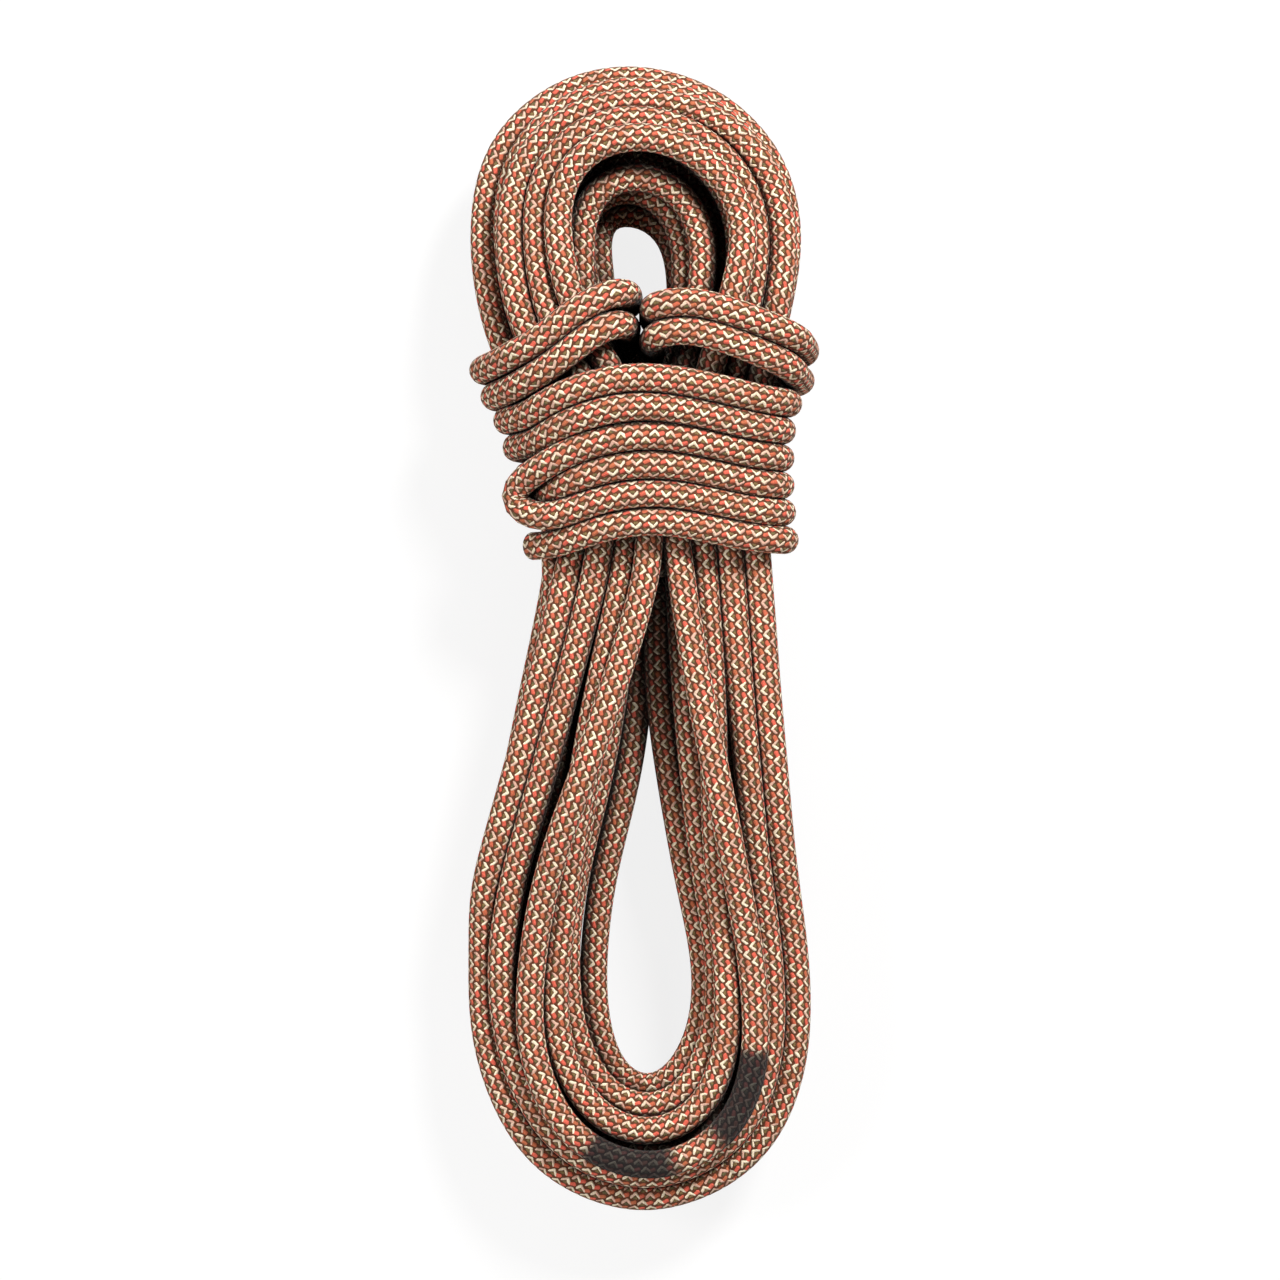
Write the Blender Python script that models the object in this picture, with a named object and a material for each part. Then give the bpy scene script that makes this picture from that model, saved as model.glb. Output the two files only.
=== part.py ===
"""Dynamic climbing rope, made up into a hank that lies on its back.

Long loops are drawn in at the waist by six turns of the rope and locked by a doubled bight, which
comes out of the eye above the turns and goes round the neck. The two tails lie behind the hank.
Metres. +Z is up, off the surface; +Y runs from the big lower lobe to the eye; +X is to the right.
The origin is on the surface, below the middle of the rope's box.
"""

import math

import bmesh
import bpy
import numpy as np

MM = 0.001

# The rope
ROPE_DIAMETER = 10.0 * MM
STRAND_GAP = 1.2 * MM  # clear space between neighbouring strands
JOINT_GAP = 0.3 * MM  # between two lengths of rope that meet end to end
FLAT_SHARE = 0.1  # of the diameter, cut off where the rope rests on the surface
PITCH = ROPE_DIAMETER + STRAND_GAP
REST_HEIGHT = ROPE_DIAMETER * (0.5 - FLAT_SHARE)  # centreline of a strand that lies on the surface

# The hank's loops: four layers, each of three loops and the half turn that climbs to the next
LAYERS = 4
LOOPS_PER_LAYER = 3
CLIMB_TURNS = 0.5
CLIMB_SWING = 0.28  # columns by which a climbing strand stands off the pile
END_TURNS = 0.03  # the last loop runs on by this much, to end under the waist turns
LAYER_PITCH = PITCH * 1.02
CORNER_SHARE = 0.6  # at a corner of a loop, how far the columns are spread so that its sides clear
LOOP_POINTS = 24
START_PHASE = 0.785  # the first loop starts at the waist, on the left, under the waist turns

# How high the hank is held off the surface, in strands, at places along Y: the waist lies on one
# strand, the neck on two, and the upper lobe on the tails
LIFT = ((-110 * MM, 0), (-45 * MM, 1), (40 * MM, 1), (96 * MM, 2), (122 * MM, 2),
        (160 * MM, 1.3))

# Outermost strand, front layer, once round from the foot of the lower lobe and up the right side:
# x, y, how far the layer rolls up towards the middle, how far the pile leans outwards (degrees)
OUTLINE = (
    (-2, -199, 20, 12), (22, -194, 20, 12), (42, -179, 20, 12), (53, -153, 20, 12),
    (55, -118, 18, 12), (50, -74, 16, 10), (44, -14, 12, 4), (41.5, 36, 10, 0),
    (43, 74, 10, 0), (49.4, 112, 12, 0), (52, 145, 17, 5), (45, 172, 20, 10),
    (24, 192, 24, 14), (-3, 199, 26, 15), (-29, 194, 25, 14), (-49, 175, 21, 10),
    (-55, 146, 18, 6), (-50.6, 111, 12, 0), (-36, 72, 10, 0), (-33, 34, 10, 0),
    (-42, -30, 12, 4), (-53.5, -90, 16, 10), (-54, -146, 20, 12), (-34, -185, 20, 12),
)

# The six waist turns: rows from the eye down, drawn with an arch across the front
TOP_ROW_Y = 94 * MM
ROW_PITCH = PITCH * 0.99
DROOP_LEFT = 11 * MM  # how much lower a turn passes the side than the middle of the front
DROOP_RIGHT = 8 * MM
BAND_CLEAR = 1.3 * MM  # more than a strand's pitch, so that the corners clear too
REACH_Y = 6 * MM  # a turn clears the strands this far above and below it
BAND_SHAPE = 0.62  # depth over width of the band the turns make round the legs

# The doubled bight: where its four strands come up through the eye, and where they pass the sides
EYE_COLUMNS_X = (-4.3 * MM, 6.4 * MM)
EYE_ROWS_Y = (123 * MM, 112 * MM)
BIGHT_PITCH = PITCH
JOINT_Z = 27 * MM  # where the turns and tails meet the bight, inside the eye


def smooth_step(low, high, value):
    """0 below low, 1 above high, and a smooth rise between them."""
    share = min(max((value - low) / (high - low), 0.0), 1.0)
    return share * share * (3 - 2 * share)


def between(places, value):
    """Read a list of (place, height) pairs at a value, with a smooth step from each to the next."""
    height = places[0][1]
    for (low, before), (high, after) in zip(places, places[1:]):
        height += (after - before) * smooth_step(low, high, value)
    return height


def at_turn(rows, turns):
    """A value of a closed list of rows, read at a number of turns round it, by a smooth curve."""
    place = (turns % 1.0) * len(rows)
    i, share = int(place) % len(rows), place - int(place)
    before, here, after, later = (rows[(i + k) % len(rows)] for k in (-1, 0, 1, 2))
    return 0.5 * (
        2 * here
        + (after - before) * share
        + (2 * before - 5 * here + 4 * after - later) * share**2
        + (3 * here - before - 3 * after + later) * share**3
    )


def lift_at(y):
    return PITCH * between(LIFT, y)


def column_and_layer(turns):
    """Where the spiral is after a number of turns: columns in from the outside, and layers up."""
    period = LOOPS_PER_LAYER + CLIMB_TURNS
    layer = min(int(turns / period), LAYERS - 1)
    inside = turns - layer * period
    climb = smooth_step(0, CLIMB_TURNS, inside - LOOPS_PER_LAYER)
    spiral = min(inside, LOOPS_PER_LAYER) + CLIMB_SWING * 4 * climb * (1 - climb)
    column = spiral if layer % 2 == 0 else LOOPS_PER_LAYER - spiral
    return column, layer + climb


def loop_point(turns):
    """One point of the hank's centreline."""
    rows = np.array(OUTLINE, float)
    step = 0.25 / len(rows)
    phase = turns + START_PHASE
    x, y, roll, lean = at_turn(rows, phase)
    ahead = at_turn(rows, phase + step) - at_turn(rows, phase - step)
    inward = np.array([-ahead[1], ahead[0]]) / math.hypot(ahead[0], ahead[1])
    before = at_turn(rows, phase) - at_turn(rows, phase - 4 * step)
    after = at_turn(rows, phase + 4 * step) - at_turn(rows, phase)
    corner = math.atan2(after[1], after[0]) - math.atan2(before[1], before[0])
    corner = (corner + math.pi) % math.tau - math.pi
    column, layer = column_and_layer(turns)
    roll, lean = math.radians(roll), math.radians(lean)
    across = column * PITCH * math.cos(roll) + (LAYERS - 1 - layer) * LAYER_PITCH * math.sin(lean)
    up = column * PITCH * math.sin(roll) + layer * LAYER_PITCH * math.cos(lean)
    flat = np.array([x, y]) * MM + inward * across / math.cos(CORNER_SHARE * corner)
    return np.array([flat[0], flat[1], REST_HEIGHT + lift_at(flat[1]) + up])


HANK_TURNS = LAYERS * LOOPS_PER_LAYER + (LAYERS - 1) * CLIMB_TURNS + END_TURNS


def hank_points(per_loop=LOOP_POINTS):
    count = round(HANK_TURNS * per_loop)
    return np.array([loop_point(HANK_TURNS * i / count) for i in range(count + 1)])


HANK_LINE = hank_points()


def strands_at(y):
    """The x and z of every strand of the hank where it crosses a height y on the page."""
    a, b = HANK_LINE[:-1], HANK_LINE[1:]
    crossing = (a[:, 1] - y) * (b[:, 1] - y) <= 0
    a, b = a[crossing], b[crossing]
    share = ((y - a[:, 1]) / (b[:, 1] - a[:, 1] + 1e-12))[:, None]
    return (a + (b - a) * share)[:, [0, 2]]


def band_point(turn, y, level=1.0):
    """A point on a tight band round both legs: turn in degrees, 0 right, 90 front, 180 left."""
    strands = np.concatenate([strands_at(y + shift) for shift in (-REACH_Y, 0, REACH_Y)])
    middle = 0.5 * (strands.min(axis=0) + strands.max(axis=0))
    angles = np.radians(np.arange(0, 360, 6))
    ways = np.stack([np.cos(angles), np.sin(angles)], axis=1)
    reach = ((strands - middle) @ ways.T).max(axis=0) + PITCH * level + BAND_CLEAR
    way = np.array([math.cos(math.radians(turn)), math.sin(math.radians(turn))])
    facing = ways @ way
    distance = (reach[facing > 0.2] / facing[facing > 0.2]).min()
    x, z = middle + way * distance
    return np.array([x, y, max(z, REST_HEIGHT)])


def smooth_line(points, per_run=6):
    """A smooth curve through hand-chosen points."""
    points = [np.array(p, float) for p in points]
    ends = [2 * points[0] - points[1], *points, 2 * points[-1] - points[-2]]
    line = []
    for i in range(1, len(ends) - 2):
        before, here, after, later = ends[i - 1 : i + 3]
        for k in range(per_run):
            u = k / per_run
            line.append(
                0.5 * (2 * here + (after - before) * u
                       + (2 * before - 5 * here + 4 * after - later) * u**2
                       + (3 * here - before - 3 * after + later) * u**3)
            )
    return np.array([*line, points[-1]])


def spaced(points, step):
    """The same line, with points a step apart, and its length."""
    runs = np.linalg.norm(np.diff(points, axis=0), axis=1)
    along = np.concatenate([[0.0], np.cumsum(runs)])
    places = np.linspace(0, along[-1], max(2, round(along[-1] / step) + 1))
    return np.stack([np.interp(places, along, points[:, k]) for k in range(3)], axis=1), along[-1]


def front_y(row, turn):
    """Height on the page of a waist turn's front: an arch, lower at both sides."""
    rise, side = math.sin(math.radians(turn)), math.cos(math.radians(turn))
    share = min(1.0, BAND_SHAPE * abs(side) / max(rise, 0.01))
    droop = DROOP_RIGHT if side > 0 else DROOP_LEFT
    return TOP_ROW_Y - row * ROW_PITCH - droop * share**1.5


def front_pass(row, start, end, count):
    return [band_point(t, front_y(row, t)) for t in np.linspace(start, end, count)]


def back_pass(row_from, row_to, start, end, count):
    """Behind the hank, from one side's row to the other's."""
    a, b = front_y(row_from, start), front_y(row_to, end)
    turns = np.linspace(start, end, count)
    return [band_point(t, a + (b - a) * (t - start) / (end - start)) for t in turns]


def table_pass(places):
    """Round the band through (turn, height on the page, level) places, smoothly, point by point."""
    line = []
    for turn, y, level in smooth_line(places, 2):
        line.append(band_point(turn, y * MM, level))
    return line


def eye_point(column, row, z):
    return np.array([EYE_COLUMNS_X[column], EYE_ROWS_Y[row], z])


def turns_a():
    """Out of the eye, top turn, behind to the third, round the bend and back along the fifth."""
    bend = []
    for k in range(1, 8):
        way = math.pi * k / 8
        turn = 140 + 22 * math.sin(way)
        bend.append(band_point(turn, front_y(3 - math.cos(way), turn), 1 + math.sin(way) ** 0.6))
    return [
        eye_point(1, 0, JOINT_Z),
        eye_point(1, 0, JOINT_Z - ROPE_DIAMETER),
        *table_pass(((-74, 122.5, 1), (-53, 113, 1), (-37, 98.5, 1), (-18, 87.5, 1))),
        *front_pass(0, 0, 168, 13),
        *back_pass(0, 2, 180, 360, 14),
        *front_pass(2, 12, 136, 9),
        *bend,
        *front_pass(4, 136, 12, 9),
        *back_pass(4, 2.04, 0, -172, 14),
    ]


def turns_b():
    """Out of the eye, second turn, behind to the fourth, behind to the sixth, and to the loops."""
    return [
        eye_point(1, 1, JOINT_Z),
        eye_point(1, 1, JOINT_Z - ROPE_DIAMETER),
        *table_pass(((-74, 108, 0.85), (-53, 97, 0.8), (-37, 84, 0.85), (-18, 76.5, 1))),
        *front_pass(1, 0, 168, 13),
        *back_pass(1, 3, 180, 360, 14),
        *front_pass(3, 12, 168, 12),
        *back_pass(3, 5, 180, 360, 14),
        *front_pass(5, 12, 168, 12),
    ]


def bight(row):
    """Up out of the eye, left over the neck, behind it, and back from the right into the eye."""
    drop = row * BIGHT_PITCH / MM
    table = (
        (104, 121.5, 1), (123, 117, 1), (143, 108.5, 1), (162, 105, 1), (180, 104.5, 1),
        (205, 104.5, 1.5), (235, 104.5, 2), (270, 105, 2), (305, 105, 2), (328, 106, 2),
        (346, 107, 1.4), (362, 108, 1), (378, 110, 1), (397, 113.5, 1), (418, 119, 1), (437, 121.5, 1),
    )
    line = table_pass([(turn, y - drop, level) for turn, y, level in table])
    top_left, top_right = line[0], line[-1]
    return [
        eye_point(0, row, JOINT_Z + JOINT_GAP),
        eye_point(0, row, JOINT_Z + JOINT_GAP + ROPE_DIAMETER),
        eye_point(0, row, top_left[2] - 0.8 * ROPE_DIAMETER),
        *line,
        eye_point(1, row, top_right[2] - 0.8 * ROPE_DIAMETER),
        eye_point(1, row, JOINT_Z + JOINT_GAP + ROPE_DIAMETER),
        eye_point(1, row, JOINT_Z + JOINT_GAP),
    ]


def tail(points):
    """From the eye, behind the neck to the left, and on under the upper lobe, with a level end."""
    line = smooth_line([np.array(p) * MM for p in points], 4)
    along = (line[-1] - line[-2]) * (1, 1, 0)
    return np.array([*line, line[-1] + along / np.linalg.norm(along) * ROPE_DIAMETER])


TAIL_A = (
    (-4.3, 123, 26.7), (-4.3, 123, 17), (-11, 126.5, 10), (-24, 134, 4.6), (-32, 146, 4),
    (-34, 160, 4), (-28, 172, 4), (-14, 177.5, 4.4), (2, 176.5, 5.8),
)
TAIL_B = (
    (-4.3, 112, 26.7), (-4.3, 112, 17), (-13, 115, 10), (-26, 116.5, 4.6), (-37, 117, 4.2),
    (-44.5, 120, 4.8), (-47.5, 126, 5.4), (-48, 132, 5.8),
)

# Each end, along the last straight: the sheath goes on past the solid rope, and shows the core
END_LENGTH = 36 * MM
SHEATH_OUTSIDE = 9.4 * MM
SHEATH_INSIDE = 7.8 * MM
SHEATH_LENGTH = 30 * MM
CORE_RADIUS = 3.1 * MM
CORE_LOBES = 6
CORE_LOBE_DEPTH = 0.35 * MM
CORE_TWIST = 1.5  # turns over the length of the end
TAPE_WIDTH = 1.8 * MM
TAPE_THICKNESS = 0.25 * MM
TAPE_OFFSET = 3.62 * MM
TIP_LENGTH = 2.6 * MM
BAND_FROM, BAND_TO = 9 * MM, 20 * MM
BAND_INSIDE, BAND_OUTSIDE = 9.9 * MM, 10.5 * MM
SLEEVE_FROM, SLEEVE_TO = 5 * MM, 34 * MM
SLEEVE_INSIDE, SLEEVE_OUTSIDE = 11.0 * MM, 11.6 * MM

for old in list(bpy.data.objects):
    bpy.data.objects.remove(old, do_unlink=True)


def material(name, color, roughness, alpha=1.0):
    made = bpy.data.materials.new(name)
    made.use_nodes = True
    shader = made.node_tree.nodes["Principled BSDF"]
    shader.inputs["Base Color"].default_value = (*color, 1.0)
    shader.inputs["Roughness"].default_value = roughness
    shader.inputs["Metallic"].default_value = 0.0
    shader.inputs["Alpha"].default_value = alpha
    return made


SHEATH = material("braided_sheath", (0.60, 0.33, 0.22), 0.85)
CORE = material("core_yarn", (0.86, 0.85, 0.82), 0.80)
TAPE = material("tracer_tape", (0.20, 0.32, 0.55), 0.45)
FUSED = material("fused_nylon", (0.16, 0.10, 0.08), 0.40)
BAND = material("plain_band", (0.82, 0.82, 0.80), 0.55)
CLEAR = material("clear_shrink", (0.90, 0.92, 0.93), 0.15, 0.35)


def add_object(name, form, look):
    bmesh.ops.recalc_face_normals(form, faces=form.faces)
    mesh = bpy.data.meshes.new(name)
    form.to_mesh(mesh)
    form.free()
    mesh.materials.append(look)
    made = bpy.data.objects.new(name, mesh)
    bpy.context.scene.collection.objects.link(made)
    return made


def frames_along(line):
    """For each point of a line: two directions across it, carried along without twist."""
    ahead = np.gradient(line, axis=0)
    ahead /= np.linalg.norm(ahead, axis=1)[:, None]
    seed = np.array([0.0, 0.0, 1.0]) if abs(ahead[0][2]) < 0.9 else np.array([1.0, 0.0, 0.0])
    frames = []
    for along in ahead:
        seed = seed - along * (seed @ along)
        seed /= np.linalg.norm(seed)
        frames.append((np.cross(seed, along), seed))
    return frames


def ring_of(form, center, across, up, outline):
    return [form.verts.new(center + across * u + up * v) for u, v in outline]


def join_rings(form, first, second):
    count = len(first)
    for k in range(count):
        form.faces.new((first[k], first[(k + 1) % count], second[(k + 1) % count], second[k]))


def polygon(sides, radius):
    turn = math.pi / sides
    steps = [turn + math.tau * k / sides for k in range(sides)]
    return [(radius * math.cos(a), radius * math.sin(a)) for a in steps]


def tube(name, points, sides, look, radius=ROPE_DIAMETER / 2):
    """A closed round bar along a line of points."""
    line = np.array(points, float)
    form = bmesh.new()
    rings = []
    for center, (across, up) in zip(line, frames_along(line)):
        rings.append(ring_of(form, center, across, up, polygon(sides, radius)))
    for first, second in zip(rings, rings[1:]):
        join_rings(form, first, second)
    form.faces.new(rings[0])
    form.faces.new(rings[-1])
    return add_object(name, form, look)


def cut_flat(target):
    """Cut off what would reach below the surface."""
    form = bmesh.new()
    bmesh.ops.create_cube(form, size=1.0)
    bmesh.ops.scale(form, vec=(0.6, 0.6, 0.05), verts=form.verts)
    bmesh.ops.translate(form, vec=(0, 0, -0.025), verts=form.verts)
    cutter = add_object(target.name + "_flat_cutter", form, SHEATH)
    cutter.data.materials.clear()
    cutter.hide_render = True
    cutter.display_type = "WIRE"
    cut = target.modifiers.new("flat", "BOOLEAN")
    cut.operation = "DIFFERENCE"
    cut.solver = "EXACT"
    cut.object = cutter


def bar(name, base, frame, start, end, outline, look, turns=0.0, steps=1):
    """A closed bar of any outline along the straight end, with a twist where one is asked for."""
    along, across, up = frame
    form = bmesh.new()
    rings = []
    for k in range(steps + 1):
        twist = math.tau * turns * k / steps
        side = across * math.cos(twist) + up * math.sin(twist)
        rise = up * math.cos(twist) - across * math.sin(twist)
        center = base + along * (start + (end - start) * k / steps)
        rings.append(ring_of(form, center, side, rise, outline))
    for first, second in zip(rings, rings[1:]):
        join_rings(form, first, second)
    form.faces.new(rings[0])
    form.faces.new(rings[-1])
    return add_object(name, form, look)


def hollow(name, base, frame, start, end, inside, outside, look, sides=20):
    """A straight pipe along the end."""
    along, across, up = frame
    form = bmesh.new()
    rings = []
    for place, size in ((start, outside), (end, outside), (end, inside), (start, inside)):
        outline = polygon(sides, size / 2)
        rings.append(ring_of(form, base + along * place, across, up, outline))
    for k in range(4):
        join_rings(form, rings[k], rings[(k + 1) % 4])
    return add_object(name, form, look)


def rope_end(letter, line):
    """The pieces of one end of the rope, along the tail's last direction."""
    base = line[-1]
    along = line[-1] - line[-2]
    along[2] = 0.0
    along /= np.linalg.norm(along)
    up = np.array([0.0, 0.0, 1.0])
    across = np.cross(along, up)
    frame = (along, across, up)
    lobed = []
    count = CORE_LOBES * 4
    for k in range(count):
        angle = math.tau * k / count
        radius = CORE_RADIUS - CORE_LOBE_DEPTH * 0.5 * (1 - math.cos(CORE_LOBES * angle))
        lobed.append((radius * math.cos(angle), radius * math.sin(angle)))
    low, high = TAPE_OFFSET - TAPE_THICKNESS / 2, TAPE_OFFSET + TAPE_THICKNESS / 2
    wide = TAPE_WIDTH / 2
    strip = [(-wide, low), (wide, low), (wide, high), (-wide, high)]
    inner_end = SHEATH_LENGTH - JOINT_GAP
    tip_from = SHEATH_LENGTH + JOINT_GAP
    tip = polygon(20, SHEATH_OUTSIDE / 2)
    hollow(
        "end_sheath_" + letter, base, frame, JOINT_GAP, SHEATH_LENGTH,
        SHEATH_INSIDE, SHEATH_OUTSIDE, SHEATH,
    )
    bar(
        "core_strands_" + letter, base, frame, 2 * JOINT_GAP, inner_end, lobed, CORE,
        CORE_TWIST, 24,
    )
    bar("tracer_tape_" + letter, base, frame, 2 * JOINT_GAP, inner_end, strip, TAPE)
    bar("fused_tip_" + letter, base, frame, tip_from, tip_from + TIP_LENGTH, tip, FUSED)
    hollow(
        "end_band_" + letter, base, frame, BAND_FROM, BAND_TO, BAND_INSIDE, BAND_OUTSIDE, BAND,
    )
    hollow(
        "shrink_sleeve_" + letter, base, frame, SLEEVE_FROM, SLEEVE_TO,
        SLEEVE_INSIDE, SLEEVE_OUTSIDE, CLEAR,
    )


def least_gap(points, skip=3.0):
    """The least clear space between a tube and itself, leaving out what lies close along it."""
    step = ROPE_DIAMETER / 4
    line, _ = spaced(points, step)
    apart = int(skip * ROPE_DIAMETER / step)
    least = math.inf
    for i in range(0, len(line) - apart):
        least = min(least, float(np.linalg.norm(line[i + apart:] - line[i], axis=1).min()))
    return least - ROPE_DIAMETER


def report(name, line):
    _, length = spaced(np.array(line), ROPE_DIAMETER / 4)
    print(f"{name}: length {length:.3f} m, least gap to itself {least_gap(np.array(line)) / MM:.2f} mm")


LINES = {
    "hank_loops": HANK_LINE,
    "waist_turns_a": np.array(turns_a()),
    "waist_turns_b": np.array(turns_b()),
    "locking_bight_a": np.array(bight(0)),
    "locking_bight_b": np.array(bight(1)),
    "tail_a": tail(TAIL_A),
    "tail_b": tail(TAIL_B),
}

# The origin goes below the middle of the rope's box
low = np.min([line.min(axis=0) for line in LINES.values()], axis=0)
high = np.max([line.max(axis=0) for line in LINES.values()], axis=0)
MIDDLE = np.array([(low[0] + high[0]) / 2, (low[1] + high[1]) / 2, 0.0])
print(f"middle: {MIDDLE[0] / MM:.2f}, {MIDDLE[1] / MM:.2f} mm")
for name in LINES:
    LINES[name] = LINES[name] - MIDDLE

for name, line in LINES.items():
    report(name, line)
    made = tube(name, line, 6 if name == "hank_loops" else 8, SHEATH)
    if line[:, 2].min() < ROPE_DIAMETER / 2:
        cut_flat(made)

rope_end("a", LINES["tail_a"])
rope_end("b", LINES["tail_b"])
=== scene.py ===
import math

import bmesh
import bpy
import numpy as np
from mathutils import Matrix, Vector
from mathutils.bvhtree import BVHTree


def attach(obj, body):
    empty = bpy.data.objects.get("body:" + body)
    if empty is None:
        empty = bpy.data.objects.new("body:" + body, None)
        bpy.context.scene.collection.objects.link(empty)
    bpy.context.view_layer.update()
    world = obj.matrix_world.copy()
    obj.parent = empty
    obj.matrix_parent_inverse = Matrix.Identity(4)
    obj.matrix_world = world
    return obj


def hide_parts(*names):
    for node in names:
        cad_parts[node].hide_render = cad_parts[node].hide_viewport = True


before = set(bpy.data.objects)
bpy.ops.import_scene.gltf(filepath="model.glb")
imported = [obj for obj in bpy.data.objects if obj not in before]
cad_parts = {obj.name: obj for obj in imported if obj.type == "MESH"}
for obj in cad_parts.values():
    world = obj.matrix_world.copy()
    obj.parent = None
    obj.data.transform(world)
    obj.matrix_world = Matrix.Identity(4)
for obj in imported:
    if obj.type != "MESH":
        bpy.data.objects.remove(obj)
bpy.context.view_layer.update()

mm = 0.001
middle = np.array([1.55, 0.71, 0.0]) * mm  # the hank's own middle, moved to the origin


# the camera looks straight down on the hank, as in the photograph
view = dict(
    lens=110.0, sensor=36.0, wide=457.0, focusHeight=45.0, x=-1.55, y=-0.71, near=0.05, far=20.0,
)


def addCamera():
    data = bpy.data.cameras.new("photoCamera")
    data.sensor_fit = "HORIZONTAL"
    data.sensor_width = view["sensor"]
    data.lens = view["lens"]
    data.clip_start, data.clip_end = view["near"], view["far"]
    camera = bpy.data.objects.new("photoCamera", data)
    away = view["wide"] * mm * view["lens"] / view["sensor"]
    camera.location = (view["x"] * mm, view["y"] * mm, view["focusHeight"] * mm + away)
    bpy.context.scene.collection.objects.link(camera)
    bpy.context.scene.camera = camera


addCamera()
print("stage: camera")


# the rope's route, in millimetres: the solids' route, with its strands drawn close
rope = dict(
    diameter=10.0, pitch=9.7, rest=4.9, layers=4, loopsPerLayer=3, climbTurns=0.5,
    climbSwing=0.28, endTurns=0.03, layerPitch=9.8, startPhase=0.785, cornerShare=0.6,
)
# how high the lowest strands lie along y, over the backs of the turns and the bight
lifts = ((-110, 0), (-45, 11.2), (40, 11.2), (96, 22.4), (122, 22.4), (160, 14.6))

# outermost strand, from the foot of the lower lobe up the right side: x, y, roll of the layer
# in degrees, and how much further in the deepest layer's inner strand lies
outline = np.array([
    (-2, -199, 20, 0), (22, -194, 20, 0), (42, -179, 20, 2), (53, -153, 20, 1),
    (55, -118, 18, 0), (50, -74, 16, 6), (44, -14, 12, 11), (37.8, 36, 10, 3),
    (38.5, 74, 10, 4), (47, 112, 12, 10), (52, 145, 17, 14), (45, 172, 20, 15),
    (24, 192, 24, 16), (-3, 199, 26, 16), (-28, 193, 25, 15), (-47.5, 174, 21, 11),
    (-52, 146, 18, 8), (-46.5, 110, 12, 12), (-31, 74, 10, 4), (-29, 34, 10, 3),
    (-42, -30, 12, 11), (-53.5, -90, 16, 8.5), (-54, -146, 20, 6), (-34, -185, 20, 1),
], float)
inwardShare = (1, 0.75, 0.45, 0, 0)  # of that, by layer from the deepest
eyeShare = (1, 0.52, 0.2, 0, 0)  # the same round the eye
eyeFrom, eyeFull = 50, 110  # the y at which eyeShare begins to count, and counts fully
frontLayer, frontRise = 2.9, 0.6  # from this layer up, the roll lifts a strand less

# where the strands of the last loops lie: turns along the rope, strands in from the outside,
# layers up. The last loop crosses over the others on both legs
laidLoops = np.array([
    (7.0, 1.6, 2), (7.05, 1.0, 2), (7.15, 0.6, 2), (7.25, 0.5, 2), (7.4, 0.3, 2), (7.5, 0, 2),
    (7.6, 0.05, 2), (7.757, 0.05, 2), (7.84, 0.25, 2), (7.9, 0.25, 2), (8.0, 0.2, 2), (8.1, 0.8, 2),
    (8.25, 1.1, 2), (8.5, 1.25, 2), (8.757, 1.6, 2), (8.9, 1.6, 2), (9.0, 1.8, 2), (9.08, 2.5, 2),
    (9.2, 2.8, 2), (9.35, 2.7, 2), (9.5, 2.4, 2), (9.757, 2.9, 2), (9.85, 2.95, 2),
    (9.9, 2.9, 2), (9.95, 2, 2.5), (10.007, 0.5, 3), (10.048, 0.3, 2.9), (10.09, 0.05, 2.8),
    (10.132, 0, 2.7), (10.215, -0.05, 2.5), (10.3, -0.05, 2.5), (10.382, 0, 2.7), (10.423, 0, 2.9),
    (10.465, 0.05, 3), (10.507, 0, 3), (10.548, 0.2, 3), (10.59, 0.1, 3), (10.632, 0.1, 3),
    (10.673, 0.2, 3), (10.715, 0.45, 2.9), (10.757, 0.75, 2.8), (10.798, 0.75, 2.8),
    (10.84, 0.7, 2.9), (10.882, 0.68, 3), (10.923, 0.7, 3), (10.965, 1, 3), (11.007, 1.43, 3),
    (11.048, 1.2, 3), (11.09, 0.7, 3), (11.132, 0.65, 3), (11.173, 0.6, 3), (11.215, 0.55, 3),
    (11.3, 0.6, 3), (11.34, 0.7, 3), (11.382, 0.85, 3), (11.423, 0.93, 3), (11.465, 0.75, 3),
    (11.507, 0.55, 3), (11.548, 1, 3), (11.59, 1, 3), (11.632, 1, 3), (11.673, 1.1, 3),
    (11.715, 1.2, 3.2), (11.757, 1.27, 3.4), (11.798, 1.3, 3.4), (11.84, 1.35, 3.2),
    (11.882, 1.4, 3), (11.923, 1.45, 3), (11.965, 1.9, 3), (12.007, 2.4, 3), (12.048, 2.5, 3),
    (12.09, 2.8, 3), (12.132, 2.45, 3), (12.173, 2.2, 3), (12.215, 2.05, 3), (12.257, 2.05, 3),
    (12.3, 2.2, 3), (12.382, 2.5, 3), (12.423, 2.4, 3), (12.465, 1.9, 3), (12.507, 1.4, 3),
    (12.548, 1.8, 3.2), (12.59, 1.5, 3.5), (12.632, 1.3, 3.7), (12.673, 1.65, 3.8),
    (12.715, 1.9, 4), (12.757, 2.05, 4.1), (12.798, 2.1, 4.1), (12.84, 2.15, 3.8),
    (12.882, 2.2, 3.6), (12.923, 2.25, 3.4), (12.965, 2.8, 3.4), (13.007, 3.44, 3.5),
    (13.048, 2.75, 3.9), (13.09, 1.9, 3.9), (13.132, 1.45, 3.7), (13.173, 1.1, 3.7),
    (13.215, 0.95, 3.7), (13.257, 0.9, 3.7), (13.3, 0.95, 3.7), (13.34, 1.15, 3.7),
    (13.382, 1.55, 3.7), (13.423, 1.85, 3.9), (13.465, 2.35, 3.6), (13.507, 2.4, 3.3),
    (13.56, 2.4, 3.2),
])

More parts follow.
